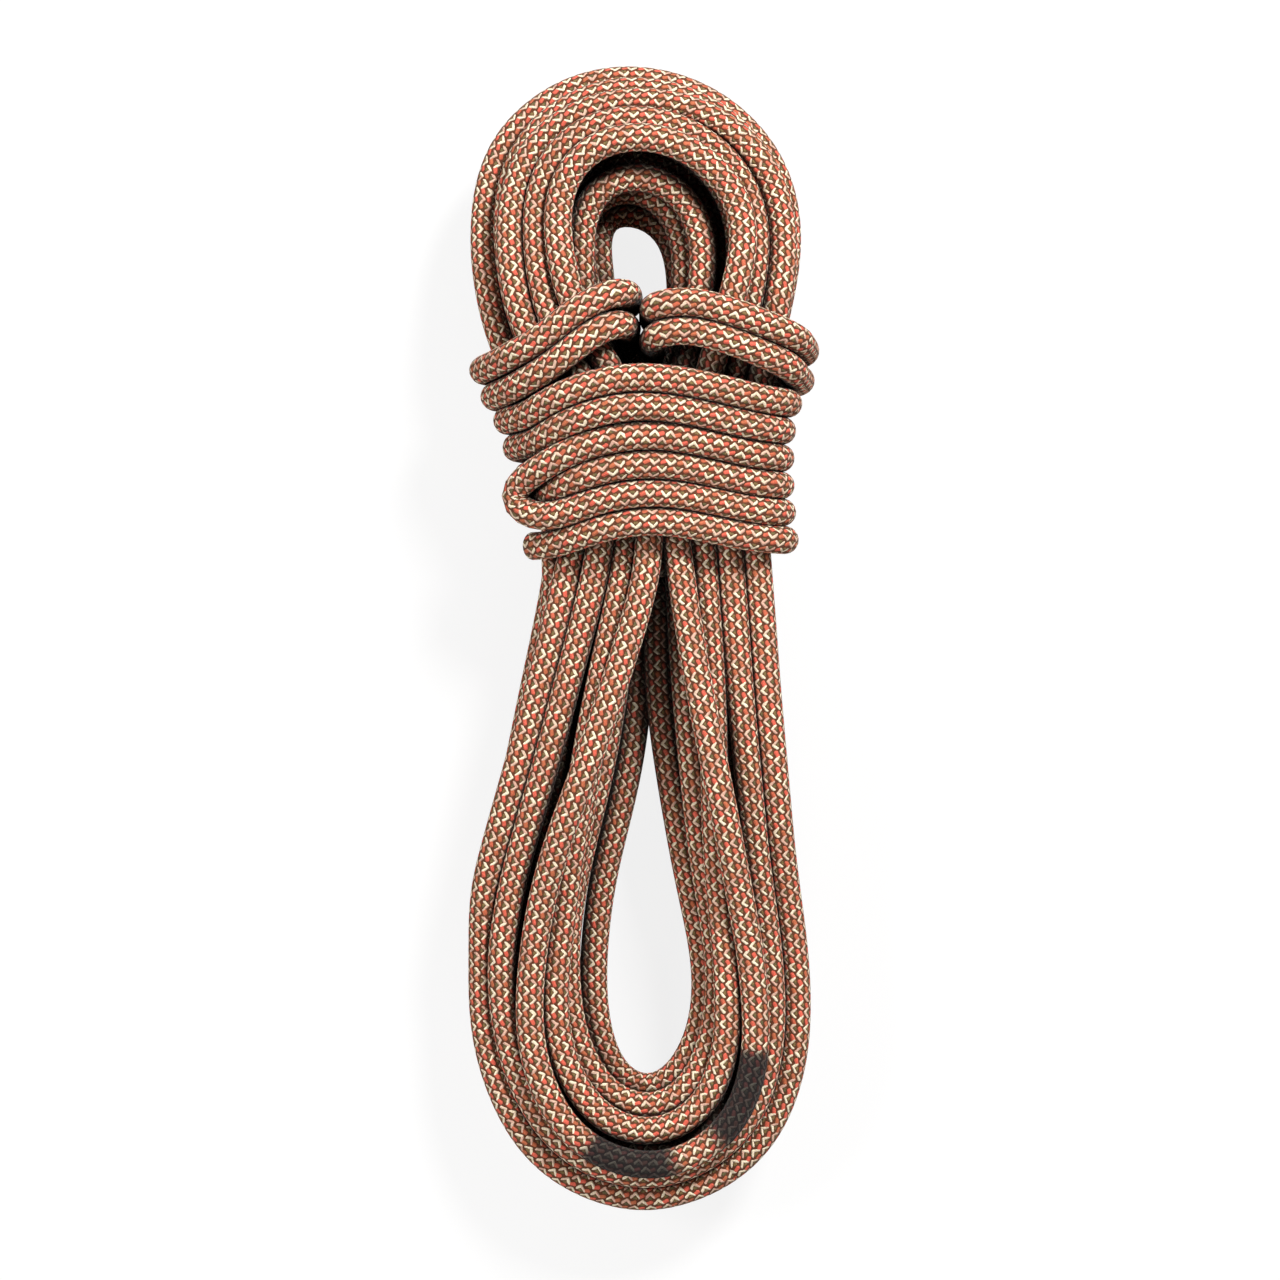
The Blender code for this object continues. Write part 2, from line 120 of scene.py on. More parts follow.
turns = dict(
    topRow=91.7, rowPitch=9.75, droopLeft=(14.0, -0.9), droopRight=(10.0, -1.0), pitch=10.1,
    clear=0.2, reach=6.0, bandShape=0.62, fan=6, facing=0.2,
)
# where the third turn on the front comes back on itself at the left
uTurn = dict(steps=8, turn=140, bulge=22, fullness=0.6)
# the four upright strands in the eye: the bight's two on the left, its two on the right.
# joint is the height at which the rope's lengths meet, below is in rope diameters
eye = dict(
    left=((-4.0, 121.5), (-5.0, 110.5)), right=((4.6, 116.0), (4.6, 105.5)),
    joint=27.0, gap=0.3, below=0.8,
)


def smoothStep(low, high, value):
    share = min(max((value - low) / (high - low), 0.0), 1.0)
    return share * share * (3 - 2 * share)


def liftAt(y):
    height = lifts[0][1]
    for (low, before), (high, after) in zip(lifts, lifts[1:]):
        height += (after - before) * smoothStep(low, high, y)
    return height


def curveThrough(before, here, after, later, share):
    # a smooth curve from here to after
    return 0.5 * (
        2 * here
        + (after - before) * share
        + (2 * before - 5 * here + 4 * after - later) * share**2
        + (3 * here - before - 3 * after + later) * share**3
    )


def roundOutline(phase):
    count = len(outline)
    place = (phase % 1.0) * count
    i, share = int(place) % count, place - int(place)
    return curveThrough(*(outline[(i + k) % count] for k in (-1, 0, 1, 2)), share)


def columnAndLayer(turn):
    if turn > laidLoops[0, 0]:
        return tuple(np.interp(turn, laidLoops[:, 0], laidLoops[:, k]) for k in (1, 2))
    period = rope["loopsPerLayer"] + rope["climbTurns"]
    layer = min(int(turn / period), rope["layers"] - 1)
    inside = turn - layer * period
    climb = smoothStep(0, rope["climbTurns"], inside - rope["loopsPerLayer"])
    spiral = min(inside, rope["loopsPerLayer"]) + rope["climbSwing"] * 4 * climb * (1 - climb)
    column = spiral if layer % 2 == 0 else rope["loopsPerLayer"] - spiral
    return column, layer + climb


def loopPoint(turn):
    step = 0.25 / len(outline)
    phase = turn + rope["startPhase"]
    x, y, roll, further = roundOutline(phase)
    ahead = roundOutline(phase + step) - roundOutline(phase - step)
    inward = np.array([-ahead[1], ahead[0]]) / math.hypot(ahead[0], ahead[1])
    before = roundOutline(phase) - roundOutline(phase - 4 * step)
    after = roundOutline(phase + 4 * step) - roundOutline(phase)
    corner = math.atan2(after[1], after[0]) - math.atan2(before[1], before[0])
    corner = (corner + math.pi) % math.tau - math.pi
    column, layer = columnAndLayer(turn)
    byLeg, byEye = (np.interp(layer, range(5), share) for share in (inwardShare, eyeShare))
    share = byLeg + (byEye - byLeg) * smoothStep(eyeFrom, eyeFull, y)
    further *= share * max(column, 0) / rope["loopsPerLayer"]
    across = column * rope["pitch"] + further
    rise = math.sin(math.radians(roll)) * (1.0 if layer < frontLayer else frontRise)
    up = column * rope["pitch"] * rise + layer * rope["layerPitch"]
    flat = np.array([x, y]) + inward * across / math.cos(rope["cornerShare"] * corner)
    return np.array([flat[0], flat[1], rope["rest"] + liftAt(flat[1]) + up])


hankTurns = (
    rope["layers"] * rope["loopsPerLayer"]
    + (rope["layers"] - 1) * rope["climbTurns"]
    + rope["endTurns"]
)


def hankRoute(perLoop):
    count = round(hankTurns * perLoop)
    return np.array([loopPoint(hankTurns * i / count) for i in range(count + 1)])


def evenly(line, step):
    runs = np.linalg.norm(np.diff(line, axis=0), axis=1)
    along = np.concatenate([[0.0], np.cumsum(runs)])
    places = np.linspace(0, along[-1], max(2, round(along[-1] / step) + 1))
    return np.stack([np.interp(places, along, line[:, k]) for k in range(3)], axis=1), along[-1]


def smoothed(line, rounds):
    for _ in range(rounds):
        inner = 0.25 * line[:-2] + 0.5 * line[1:-1] + 0.25 * line[2:]
        line = np.vstack([line[:1], inner, line[-1:]])
    return line


# how strands that overlap are pushed apart until they only touch
settling = dict(
    rounds=90, pushes=2, pairsEvery=3, neighbours=3, touch=10.0, reach=13.0, firmness=1.2,
    postShare=0.6, hold=0.985, lowest=5.0,
)


def closePairs(points, fixed, atOnce=256):
    # pairs of points within reach: not neighbours on one strand, not both fixed
    first, second = [], []
    for start in range(0, len(points), atOnce):
        away = points[start : start + atOnce, None] - points[None]
        i, j = np.nonzero((away**2).sum(axis=-1) < settling["reach"] ** 2)
        i += start
        keep = (j > i + settling["neighbours"]) & ~(fixed[i] & fixed[j])
        first.append(i[keep])
        second.append(j[keep])
    return np.concatenate(first), np.concatenate(second)


def settled(lines, fixedLines=()):
    # lines are moved, fixedLines only push. The first time, the eye's strands keep their room
    ends = np.cumsum([len(line) for line in lines])
    goal = np.concatenate([*lines, *fixedLines])
    fixed = np.arange(len(goal)) >= ends[-1]
    points = goal.copy()
    posts = [] if fixedLines else [*eye["left"], *eye["right"]]
    for step in range(settling["rounds"]):
        if step % settling["pairsEvery"] == 0:
            i, j = closePairs(points, fixed)
        for _ in range(settling["pushes"]):
            gap = points[i] - points[j]
            apart = np.maximum(np.linalg.norm(gap, axis=1), 1e-6)
            hit = apart < settling["touch"]
            push = gap[hit] * (0.5 * (settling["touch"] - apart[hit]) / apart[hit])[:, None]
            total, times = np.zeros_like(points), np.zeros(len(points))
            np.add.at(total, i[hit], push)
            np.add.at(total, j[hit], -push)
            np.add.at(times, i[hit], 1)
            np.add.at(times, j[hit], 1)
            total *= settling["firmness"] / np.maximum(times, 1)[:, None]
            total[fixed] = 0
            points = points + total
            points[:, 2] = np.maximum(points[:, 2], settling["lowest"])
            for post in posts:
                away = points[:, :2] - post
                far = np.linalg.norm(away, axis=1)
                near = far < settling["touch"]
                more = settling["postShare"] * (settling["touch"] / far[near] - 1)
                points[near, :2] += away[near] * more[:, None]
        start = 0
        for end in ends:
            shift = smoothed((points - goal)[start:end], 1) * settling["hold"]
            points[start:end] = goal[start:end] + shift
            start = end
    return [points[a:b] for a, b in zip((0, *ends[:-1]), ends)]


draft = dict(perLoop=96, step=5.0, rounds=8)  # the hank's line before it settles
hankDraft, _ = evenly(hankRoute(draft["perLoop"]), draft["step"])
hankLine = settled([smoothed(hankDraft, draft["rounds"])])[0]
print("stage: hank settled")


def strandsAt(y):
    a, b = hankLine[:-1], hankLine[1:]
    crossing = (a[:, 1] - y) * (b[:, 1] - y) <= 0
    a, b = a[crossing], b[crossing]
    share = ((y - a[:, 1]) / (b[:, 1] - a[:, 1] + 1e-9))[:, None]
    return (a + (b - a) * share)[:, [0, 2]]


def bandPoint(turn, y, level=1.0):
    # a place on a taut band round the hank: turn in degrees, level 2 lies over another turn
    shifts = (-turns["reach"], 0, turns["reach"])
    strands = np.concatenate([strandsAt(y + shift) for shift in shifts])
    centre = 0.5 * (strands.min(axis=0) + strands.max(axis=0))
    angles = np.radians(np.arange(0, 360, turns["fan"]))
    ways = np.stack([np.cos(angles), np.sin(angles)], axis=1)
    reach = ((strands - centre) @ ways.T).max(axis=0) + turns["pitch"] * level + turns["clear"]
    way = np.array([math.cos(math.radians(turn)), math.sin(math.radians(turn))])
    facing = ways @ way
    counted = facing > turns["facing"]
    distance = (reach[counted] / facing[counted]).min()
    x, z = centre + way * distance
    return np.array([x, y, max(z, rope["rest"])])


def smoothLine(points, perRun):
    points = [np.array(p, float) for p in points]
    ends = [2 * points[0] - points[1], *points, 2 * points[-1] - points[-2]]
    line = []
    for i in range(1, len(ends) - 2):
        line.extend(curveThrough(*ends[i - 1 : i + 3], k / perRun) for k in range(perRun))
    return np.array([*line, points[-1]])


def frontY(row, turn):
    rise, side = math.sin(math.radians(turn)), math.cos(math.radians(turn))
    share = min(1.0, turns["bandShape"] * abs(side) / max(rise, 0.01))
    droop, less = turns["droopRight"] if side > 0 else turns["droopLeft"]
    return turns["topRow"] - row * turns["rowPitch"] - (droop + less * row) * share**1.5


def frontPass(row, start, end, count):
    return [bandPoint(t, frontY(row, t)) for t in np.linspace(start, end, count)]


def backPass(rowFrom, rowTo, start, end, count):
    a, b = frontY(rowFrom, start), frontY(rowTo, end)
    spots = np.linspace(start, end, count)
    return [bandPoint(t, a + (b - a) * (t - start) / (end - start)) for t in spots]


def tablePass(places):
    return [bandPoint(turn, y, level) for turn, y, level in smoothLine(places, 2)]


def eyePoint(column, row, z):
    return np.array([*eye["right" if column else "left"][row], z])


def turnsRouteA():
    bend = []
    for k in range(1, uTurn["steps"]):
        way = math.pi * k / uTurn["steps"]
        turn = uTurn["turn"] + uTurn["bulge"] * math.sin(way)
        level = 1 + math.sin(way) ** uTurn["fullness"]
        bend.append(bandPoint(turn, frontY(3 - math.cos(way), turn), level))
    return [
        eyePoint(1, 0, eye["joint"]),
        eyePoint(1, 0, eye["joint"] - rope["diameter"]),
        *tablePass(((-66, 111, 1), (-52, 104.5, 1), (-37, 96.5, 1), (-18, 87.5, 1))),
        *frontPass(0, 0, 168, 13),
        *backPass(0, 2, 180, 360, 14),
        *frontPass(2, 12, 136, 9),
        *bend,
        *frontPass(4, 136, 12, 9),
        *backPass(4, 2.04, 0, -172, 14),
    ]


def turnsRouteB():
    return [
        eyePoint(1, 1, eye["joint"]),
        eyePoint(1, 1, eye["joint"] - rope["diameter"]),
        np.array([1.5, 101.5, 10.5]),  # shuts the gap above the top turn
        *tablePass(((-53, 96, 0.8), (-37, 84, 0.85), (-18, 76.5, 1))),
        *frontPass(1, 0, 168, 13),
        *backPass(1, 3, 180, 360, 14),
        *frontPass(3, 12, 168, 12),
        *backPass(3, 5, 180, 360, 14),
        *frontPass(5, 12, 168, 12),
    ]


# the bight's two strands round the neck: turn in degrees, y, level
bightTables = (
    (
        (104, 122, 1), (123, 115.7, 1), (143, 104.5, 1), (162, 98.5, 1), (180, 96, 1),
        (205, 97, 1.5), (235, 99, 2), (270, 101, 2), (305, 102.5, 2), (328, 103, 2),
        (346, 103.5, 1.4), (362, 104.5, 1), (378, 107, 1), (397, 113.5, 1), (418, 118.5, 1),
        (437, 116.5, 1),
    ),
    (
        (104, 112, 1), (123, 106, 1), (143, 94.5, 1), (162, 88.5, 1), (180, 86, 1),
        (205, 87, 1.5), (235, 89, 2), (270, 90.5, 2), (305, 91.5, 2), (328, 92, 2),
        (346, 92.5, 1.4), (362, 93.5, 1), (378, 96.5, 1), (397, 104, 1), (418, 109.5, 0.9),
        (437, 107.5, 0.8),
    ),
)


def bightRoute(row):
    line = tablePass(bightTables[row])
    foot, under = eye["joint"] + eye["gap"], eye["below"] * rope["diameter"]
    return [
        eyePoint(0, row, foot),
        eyePoint(0, row, foot + rope["diameter"]),
        eyePoint(0, row, line[0][2] - under),
        *line,
        eyePoint(1, row, line[-1][2] - under),
        eyePoint(1, row, foot + rope["diameter"]),
        eyePoint(1, row, foot),
    ]


# the tails begin below the bight in the eye: x, y, z
tailTop = eye["joint"] - eye["gap"]
tailA = (
    (*eye["left"][0], tailTop), (*eye["left"][0], 17), (-11, 125.5, 10), (-24, 134, 4.6),
    (-32, 146, 4), (-34, 160, 4), (-28, 172, 4), (-14, 177.5, 4.4), (2, 176.5, 5.8),
)
tailB = (
    (*eye["left"][1], tailTop), (-4, 108, 18), (-4.5, 105, 10.5), (-13, 106.5, 5.5),
    (-26, 113, 4.6), (-37, 117, 4.2), (-44.5, 120, 4.8), (-47.5, 126, 5.4), (-48, 132, 5.8),
)


def tailRoute(points):
    line = smoothLine(points, 4)
    along = (line[-1] - line[-2]) * (1, 1, 0)
    return np.array([*line, line[-1] + along / np.linalg.norm(along) * rope["diameter"]])


# the braided sheath's look
braid = dict(
    rows=12,  # rows of chevrons round the rope
    period=5.6,  # mm along the rope from one chevron to the next
    cream=(0.99, 0.83, 0.60), creamTwo=(0.96, 0.57, 0.42),
    red=(0.75, 0.125, 0.075), redTwo=(0.68, 0.18, 0.075),
    olive=(0.22, 0.145, 0.05), oliveTwo=(0.15, 0.13, 0.05),
    gap=(0.120, 0.040, 0.016), dye=(0.006, 0.006, 0.007),
    secondYarn=(0.35, 0.9), yarnLight=(1.08, 0.80), mottle=(0.72, 1.14), undyed=0.055,
    roughness=(0.95, 0.62), specular=0.3, sheen=0.06, sheenRoughness=0.5,
    # one cell of the weave, in its own units: size, where the chevron's point lies, and the
    # floats as bars, each with two ends and a radius
    cell=(16.0, 7.0), point=5.0, redHeight=0.9, oliveHeight=0.6, edge=(0.02, 0.42),
    creamBar=((0.1, 1.4), (4.3, 5.3), 1.5), redBar=((10.0, 4.6), (13.3, 3.2), 2.2),
    oliveBar=((0.0, 5.6), (0.9, 5.9), 1.6),
    # how far the cells stray along and round the rope, and the fine relief
    stray=(0.3, 0.2), filaments=4.2, filamentHeight=0.05, fuzzHeight=0.25,
    bumpStrength=0.9, bumpDepth=0.00045,
    # painted shade: in the narrowest hollows the colour is darkened to this share, at openness 0.7
    # not at all
    paintedShadeDarkest=0.08, open=0.7,
)


def newGroup(name, inputs, outputs):
    group = bpy.data.node_groups.new(name, "ShaderNodeTree")
    for label, kind, value in inputs:
        socket = group.interface.new_socket(label, in_out="INPUT", socket_type=kind)
        if value is not None:
            socket.default_value = value
    for label, kind in outputs:
        group.interface.new_socket(label, in_out="OUTPUT", socket_type=kind)
    return group, group.nodes.new("NodeGroupInput"), group.nodes.new("NodeGroupOutput")


def mathNode(tree, operation, a, b=None, c=None, clamp=False):
    node = tree.nodes.new("ShaderNodeMath")
    node.operation = operation
    node.use_clamp = clamp
    for k, value in enumerate((a, b, c)):
        if value is None:
            continue
        if isinstance(value, (int, float)):
            node.inputs[k].default_value = value
        else:
            tree.links.new(value, node.inputs[k])
    return node.outputs[0]


def mixColour(tree, share, a, b):
    node = tree.nodes.new("ShaderNodeMix")
    node.data_type = "RGBA"
    for socket, value in ((node.inputs[0], share), (node.inputs[6], a), (node.inputs[7], b)):
        if isinstance(value, tuple):
            socket.default_value = (*value, 1.0)
        elif isinstance(value, (int, float)):
            socket.default_value = value
        else:
            tree.links.new(value, socket)
    return node.outputs[2]


def ramp(tree, value, low, high, fromLow=0.0, fromHigh=1.0):
    node = tree.nodes.new("ShaderNodeMapRange")
    node.interpolation_type = "SMOOTHSTEP"
    tree.links.new(value, node.inputs[0])
    for k, number in enumerate((low, high, fromLow, fromHigh)):
        node.inputs[k + 1].default_value = number
    return node.outputs[0]


def scaled(tree, colour, factor):
    node = tree.nodes.new("ShaderNodeVectorMath")
    node.operation = "SCALE"
    if isinstance(colour, tuple):
        node.inputs[0].default_value = colour
    else:
        tree.links.new(colour, node.inputs[0])
    tree.links.new(factor, node.inputs["Scale"])
    return node.outputs[0]


def noiseNode(tree, place, scale, detail):
    node = tree.nodes.new("ShaderNodeTexNoise")
    node.inputs["Scale"].default_value = scale
    node.inputs["Detail"].default_value = detail
    tree.links.new(place, node.inputs["Vector"])
    return node


def attributeValue(tree, name):
    node = tree.nodes.new("ShaderNodeAttribute")
    node.attribute_name = name
    return node.outputs["Fac"]


def addBump(tree, height, strength, depth):
    bump = tree.nodes.new("ShaderNodeBump")
    bump.inputs["Strength"].default_value = strength
    bump.inputs["Distance"].default_value = depth
    tree.links.new(height, bump.inputs["Height"])
    tree.links.new(bump.outputs["Normal"], tree.nodes["Principled BSDF"].inputs["Normal"])


def newMaterial(name):
    material = bpy.data.materials.new(name)
    material.use_nodes = True
    tree = material.node_tree
    return material, tree, tree.nodes["Principled BSDF"]


def barHeight(tree, x, y, first, second, radius):
    # how high a rounded bar from first to second stands at x, y: 1 on its ridge, 0 beside it
    length = math.hypot(second[0] - first[0], second[1] - first[1])
    way = ((second[0] - first[0]) / length, (second[1] - first[1]) / length)
    px = mathNode(tree, "SUBTRACT", x, first[0])
    py = mathNode(tree, "SUBTRACT", y, first[1])
    t = mathNode(tree, "MULTIPLY_ADD", py, way[1], mathNode(tree, "MULTIPLY", px, way[0]))
    t = mathNode(tree, "MINIMUM", mathNode(tree, "MAXIMUM", t, 0.0), length)
    dx = mathNode(tree, "MULTIPLY_ADD", t, -way[0], px)
    dy = mathNode(tree, "MULTIPLY_ADD", t, -way[1], py)
    square = mathNode(tree, "MULTIPLY_ADD", dx, dx, mathNode(tree, "MULTIPLY", dy, dy))
    hollow = mathNode(tree, "MULTIPLY", square, 1 / radius**2)
    across = mathNode(tree, "MULTIPLY_ADD", dx, way[1], mathNode(tree, "MULTIPLY", dy, -way[0]))
    return mathNode(tree, "SUBTRACT", 1.0, hollow, clamp=True), across


def rowGroup():
    # one row of floats: cream chevron, red between two chevrons, olive in its mouth.
    # x and y run over one cell
    tree, given, result = newGroup(
        "rowOfFloats",
        (("Round", "NodeSocketFloat", None), ("Along", "NodeSocketFloat", None),
         ("Row below", "NodeSocketFloat", 0.0)),
        (("Colour", "NodeSocketColor"), ("Height", "NodeSocketFloat"),
         ("Streak", "NodeSocketFloat")),
    )
    around = given.outputs["Round"]
    row = mathNode(tree, "SUBTRACT", mathNode(tree, "FLOOR", around), given.outputs["Row below"])
    y = mathNode(tree, "MULTIPLY", mathNode(tree, "SUBTRACT", around, row), braid["cell"][1])
    odd = mathNode(tree, "FLOORED_MODULO", row, 2.0)
    along = mathNode(tree, "MULTIPLY_ADD", odd, 0.5, given.outputs["Along"])
    cell = mathNode(tree, "FLOOR", along)
    x = mathNode(tree, "MULTIPLY", mathNode(tree, "SUBTRACT", along, cell), braid["cell"][0])
    mirrored = mathNode(tree, "ABSOLUTE", mathNode(tree, "SUBTRACT", x, braid["point"]))
    cream, creamStreak = barHeight(tree, mirrored, y, *braid["creamBar"])
    red, redStreak = barHeight(tree, x, y, *braid["redBar"])
    olive, _ = barHeight(tree, mirrored, y, *braid["oliveBar"])
    red = mathNode(tree, "MULTIPLY", red, braid["redHeight"])
    olive = mathNode(tree, "MULTIPLY", olive, braid["oliveHeight"])
    # each arm of a chevron draws its own chance
    chance = tree.nodes.new("ShaderNodeTexWhiteNoise")
    chance.noise_dimensions = "2D"
    pair = tree.nodes.new("ShaderNodeCombineXYZ")
    side = mathNode(tree, "GREATER_THAN", x, braid["point"])
    tree.links.new(mathNode(tree, "MULTIPLY_ADD", side, 0.37, row), pair.inputs[0])
    tree.links.new(cell, pair.inputs[1])
    tree.links.new(pair.outputs[0], chance.inputs["Vector"])
    pick = ramp(tree, chance.outputs["Value"], *braid["secondYarn"])
    creamYarn = mixColour(tree, pick, braid["cream"], braid["creamTwo"])
    redYarn = mixColour(tree, pick, braid["red"], braid["redTwo"])
    oliveYarn = mixColour(tree, pick, braid["olive"], braid["oliveTwo"])
    redOver = mathNode(tree, "GREATER_THAN", red, olive)
    other = mixColour(tree, redOver, oliveYarn, redYarn)
    otherHeight = mathNode(tree, "MAXIMUM", red, olive)
    creamOver = mathNode(tree, "GREATER_THAN", cream, otherHeight)
    yarn = mixColour(tree, creamOver, other, creamYarn)
    height = mathNode(tree, "MAXIMUM", cream, otherHeight)
    light = ramp(tree, chance.outputs["Value"], 0.0, 1.0, *braid["yarnLight"])
    seen = ramp(tree, height, *braid["edge"])
    shown = mixColour(tree, seen, braid["gap"], scaled(tree, yarn, light))
    tree.links.new(shown, result.inputs["Colour"])
    tree.links.new(height, result.inputs["Height"])
    creamStreak = mathNode(tree, "MULTIPLY", creamStreak, creamOver)
    redStreak = mathNode(tree, "MULTIPLY", redStreak, redOver)
    tree.links.new(mathNode(tree, "ADD", creamStreak, redStreak), result.inputs["Streak"])
    return tree


def braidGroup():
    # the rope's own map: x counts chevron rows round the rope, y chevrons along it
    tree, given, result = newGroup(
        "braidedSheathWeave",
        (("Map", "NodeSocketVector", None), ("Dyed", "NodeSocketFloat", 0.0)),
        (("Colour", "NodeSocketColor"), ("Height", "NodeSocketFloat"),
         ("Roughness", "NodeSocketFloat")),
    )
    wander = noiseNode(tree, given.outputs["Map"], 0.9, 2.0)
    parts = tree.nodes.new("ShaderNodeSeparateXYZ")
    tree.links.new(given.outputs["Map"], parts.inputs[0])
    tilt = tree.nodes.new("ShaderNodeSeparateColor")
    tree.links.new(wander.outputs["Color"], tilt.inputs[0])
    strayed = []
    for k, (axis, stray) in enumerate(zip("YX", braid["stray"])):
        shift = mathNode(tree, "MULTIPLY_ADD", tilt.outputs[k], stray, -stray / 2)
        strayed.append(mathNode(tree, "ADD", parts.outputs[axis], shift))
    along, around = strayed
    rows = []
    for below in (0.0, 1.0):
        node = tree.nodes.new("ShaderNodeGroup")
        node.node_tree = oneRow
        node.inputs["Row below"].default_value = below
        tree.links.new(around, node.inputs["Round"])
        tree.links.new(along, node.inputs["Along"])
        rows.append(node)
    over = mathNode(tree, "GREATER_THAN", rows[0].outputs["Height"], rows[1].outputs["Height"])
    woven = mixColour(tree, over, rows[1].outputs["Colour"], rows[0].outputs["Colour"])
    height = mathNode(tree, "MAXIMUM", rows[0].outputs["Height"], rows[1].outputs["Height"])
    slide = tree.nodes.new("ShaderNodeMix")
    slide.data_type = "FLOAT"
    tree.links.new(over, slide.inputs[0])
    tree.links.new(rows[1].outputs["Streak"], slide.inputs[2])
    tree.links.new(rows[0].outputs["Streak"], slide.inputs[3])
    # filaments along each float
    filament = mathNode(tree, "MULTIPLY", slide.outputs[0], braid["filaments"])
    filament = mathNode(tree, "SINE", filament)
    fuzz = noiseNode(tree, given.outputs["Map"], 9.0, 3.0).outputs["Fac"]
    fine = mathNode(tree, "MULTIPLY_ADD", fuzz, braid["fuzzHeight"], height)
    fine = mathNode(tree, "MULTIPLY_ADD", filament, braid["filamentHeight"], fine)
    dyedYarn = mixColour(tree, braid["undyed"], braid["dye"], woven)
    yarn = mixColour(tree, given.outputs["Dyed"], woven, dyedYarn)
    grain = ramp(tree, fuzz, 0.3, 0.7, *braid["mottle"])
    roughness = ramp(tree, height, 0.0, 1.0, *braid["roughness"])
    tree.links.new(scaled(tree, yarn, grain), result.inputs["Colour"])
    tree.links.new(fine, result.inputs["Height"])
    tree.links.new(roughness, result.inputs["Roughness"])
    return tree


oneRow = rowGroup()
floats = braidGroup()


def braidMaterial(name):
    material, tree, shader = newMaterial(name)
    mapNode = tree.nodes.new("ShaderNodeUVMap")
    mapNode.uv_map = "braid"
    weave = tree.nodes.new("ShaderNodeGroup")
    weave.node_tree = floats
    tree.links.new(mapNode.outputs["UV"], weave.inputs["Map"])
    tree.links.new(attributeValue(tree, "dyed"), weave.inputs["Dyed"])
    addBump(tree, weave.outputs["Height"], braid["bumpStrength"], braid["bumpDepth"])
    # painted shade: the weave's colour is darkened where the sheath lies closed in between strands
    # and deep in the hank
    openness = attributeValue(tree, "openness")
    light = ramp(tree, openness, 0.0, braid["open"], braid["paintedShadeDarkest"], 1.0)
    tree.links.new(scaled(tree, weave.outputs["Colour"], light), shader.inputs["Base Color"])
    tree.links.new(weave.outputs["Roughness"], shader.inputs["Roughness"])
    shader.inputs["Specular IOR Level"].default_value = braid["specular"]
    shader.inputs["Sheen Weight"].default_value = braid["sheen"]
    shader.inputs["Sheen Roughness"].default_value = braid["sheenRoughness"]
    return material


sheathLook = braidMaterial("braidedSheath")

# rope meshes, in millimetres: nothing is drawn below lowest, markEdge is the dye's soft edge
look = dict(radius=5.0, step=3.4, sides=20, perRun=3, lowest=0.02, markEdge=2.0)
# the strips of the map that the bake uses: their margins, as shares of a strip
bakeStrip = dict(side=0.02, end=0.005, spare=1.02)


def carriedFrames(line):
    # across and up for each point, carried along the line without twist
    ahead = np.gradient(line, axis=0)
    ahead /= np.linalg.norm(ahead, axis=1)[:, None]
    seed = np.array([0.0, 0.0, 1.0]) if abs(ahead[0][2]) < 0.9 else np.array([1.0, 0.0, 0.0])
    across, up = [], []
    for along in ahead:
        seed = seed - along * (seed @ along)
        seed /= np.linalg.norm(seed)
        up.append(seed)
        across.append(np.cross(seed, along))
    return np.array(across), np.array(up)


def ropeMesh(name, line, radius, dyed=(), start=0.0, way=1, closed=True):
    count, sides = len(line), look["sides"]
    runs = np.linalg.norm(np.diff(line, axis=0), axis=1)
    along = np.concatenate([[0.0], np.cumsum(runs)]) + start
    across, up = carriedFrames(line)
    angles = np.arange(sides) * math.tau / sides
    rings = (
        line[:, None, :]
        + radius * np.cos(angles)[None, :, None] * across[:, None, :]
        + radius * np.sin(angles)[None, :, None] * up[:, None, :]
    )
    rings[:, :, 2] = np.maximum(rings[:, :, 2], look["lowest"])
    vertices = (rings.reshape(-1, 3) - middle / mm) * mm
    i, k = np.meshgrid(np.arange(count - 1), np.arange(sides), indexing="ij")
    nextK = (k + 1) % sides
    quads = np.stack(
        [i * sides + k, i * sides + nextK, (i + 1) * sides + nextK, (i + 1) * sides + k], axis=-1
    ).reshape(-1, 4)
    caps = [list(range(sides))[::-1], [(count - 1) * sides + j for j in range(sides)]]
    caps = caps if closed else []
    mesh = bpy.data.meshes.new(name)
    mesh.from_pydata(vertices.tolist(), [], quads.tolist() + caps)
    mesh.polygons.foreach_set("use_smooth", [True] * len(quads) + [False] * len(caps))
    # rows round the rope and periods along it, and the strips that the bake uses
    corner = np.stack([k, k + 1, k + 1, k], axis=-1).reshape(-1) / sides
    lengthwise = np.stack([along[i], along[i], along[i + 1], along[i + 1]], axis=-1).reshape(-1)
    braidUv = np.stack([way * corner * braid["rows"], way * lengthwise / braid["period"]], axis=1)
    total, wide = along[-1] - along[0], math.tau * radius
    strips = max(1, math.ceil(math.sqrt(total / wide)))
    perStrip = math.ceil((count - 1) / strips)
    strip = np.repeat((i // perStrip).reshape(-1), 4)
    firstRing = np.clip(strip * perStrip, 0, count - 1)
    stripLength = along[np.minimum(perStrip, count - 1)] - along[0]
    side, end = bakeStrip["side"], bakeStrip["end"]
    upStrip = (lengthwise - along[firstRing]) / (stripLength * bakeStrip["spare"])
    bakeUv = np.stack(
        [(strip + side + (1 - 2 * side) * corner) / strips, end + (1 - 2 * end) * upStrip], axis=1
    )
    capUv = np.zeros((len(caps) * sides, 2))
    for label, values in (("braid", braidUv), ("OFBake", bakeUv)):
        layer = mesh.uv_layers.new(name=label)
        layer.data.foreach_set("uv", np.concatenate([values, capUv]).astype(np.float32).ravel())
    mark = np.zeros(count)
    for place, half in dyed:
        edge = np.clip((half - np.abs(along - place)) / look["markEdge"] + 0.5, 0, 1)
        mark = np.maximum(mark, edge)
    attribute = mesh.attributes.new("dyed", "FLOAT", "POINT")
    attribute.data.foreach_set("value", np.repeat(mark, sides).astype(np.float32))
    mesh.materials.append(sheathLook)
    mesh.update()
    piece = bpy.data.objects.new(name, mesh)
    bpy.context.scene.collection.objects.link(piece)
    return piece


